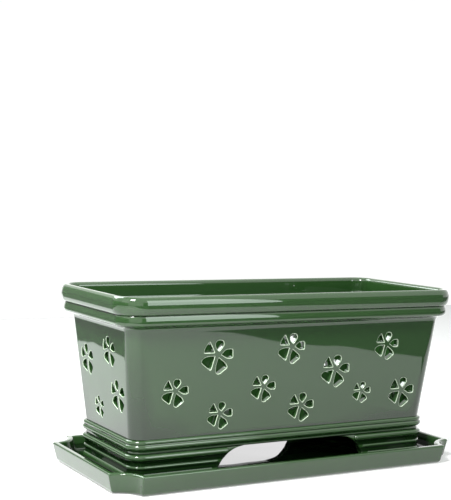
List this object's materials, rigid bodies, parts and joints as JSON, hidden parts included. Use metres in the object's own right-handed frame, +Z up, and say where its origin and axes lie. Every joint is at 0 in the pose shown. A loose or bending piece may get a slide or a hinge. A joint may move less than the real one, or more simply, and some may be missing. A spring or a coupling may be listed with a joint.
{
  "type": "orchid pot with saucer",
  "caption": "Rectangular ceramic orchid pot on low feet, with flower-shaped slots through its walls, standing loose in a drip saucer with scooped corners.",
  "frame": {"origin": "centre of the saucer's underside, on the surface that it stands on", "axes": "+Z up, +X along the length, the front faces -Y"},
  "size_m": [0.316, 0.153, 0.1458],
  "materials": {
    "green_glaze": "high gloss"
  },
  "bodies": {
    "saucer": {"saucer": "green_glaze"},
    "pot": {"pot": "green_glaze"}
  },
  "joints": [
    {"name": "pot_lift", "type": "slide", "parent": "saucer", "child": "pot", "axis": [0, 0, 1], "range_m": [0, 0.06]}
  ]
}
